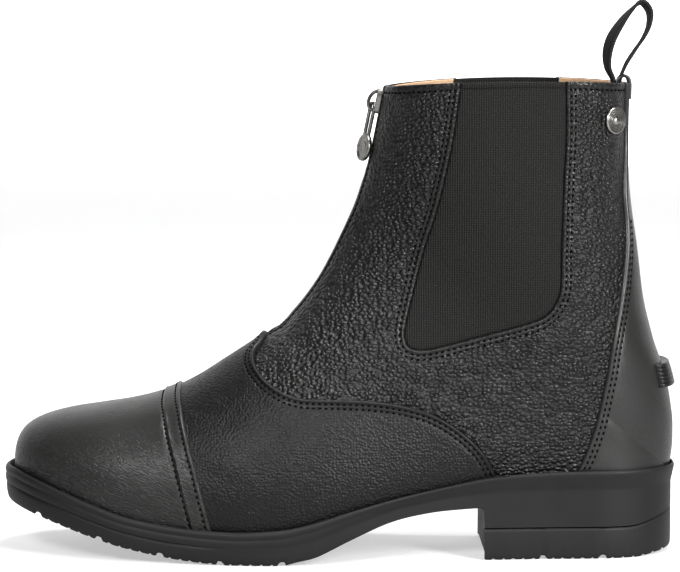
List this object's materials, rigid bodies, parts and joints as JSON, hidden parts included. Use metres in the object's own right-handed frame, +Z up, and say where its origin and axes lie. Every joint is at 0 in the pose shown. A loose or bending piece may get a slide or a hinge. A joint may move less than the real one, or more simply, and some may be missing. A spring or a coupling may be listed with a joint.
{
  "type": "jodhpur boot",
  "caption": "Ankle-high black leather riding boot with a plain toe cap, elastic side gussets, a front zip, a back pull loop and a low moulded heel.",
  "frame": {"origin": "on the ground, under the middle of the overall length and width", "axes": "-X towards the toe, -Y towards the wearer's left, which is the outer side, +Z up"},
  "size_m": [0.2906, 0.1077, 0.2349],
  "materials": {
    "sole_rubber": "matte, fine ribs on the tread",
    "insole_board": "tan sock lining",
    "grained_leather": "black, strong pebble grain, satin",
    "fine_grained_leather": "black, fine grain, satin",
    "smooth_leather": "black, smooth, soft shine",
    "stacked_leather": "black, ridged edge",
    "elastic": "dark grey ribbed elastic, matte",
    "zip_tape": "black woven tape and coil",
    "loop_tape": "black ribbed tape",
    "silver_metal": "polished silver"
  },
  "bodies": {
    "boot": {"outsole": "sole_rubber", "heel_top_piece": "sole_rubber", "insole": "insole_board", "upper": "grained_leather", "vamp": "fine_grained_leather", "toe_cap": "smooth_leather", "back_panel": "smooth_leather", "gusset_outer": "elastic", "gusset_inner": "elastic", "zip": "zip_tape", "pull_loop": "loop_tape", "spur_rest": "stacked_leather", "stud": "silver_metal", "zip_slider": "silver_metal"},
    "zip_pull": {"zip_pull": "silver_metal"}
  },
  "joints": [
    {"name": "zip_pull_hinge", "type": "hinge", "parent": "boot", "child": "zip_pull", "pos_m": [0.01454, 0, 0.19189], "axis": [0, 1, 0], "range_deg": [0, 150]}
  ]
}
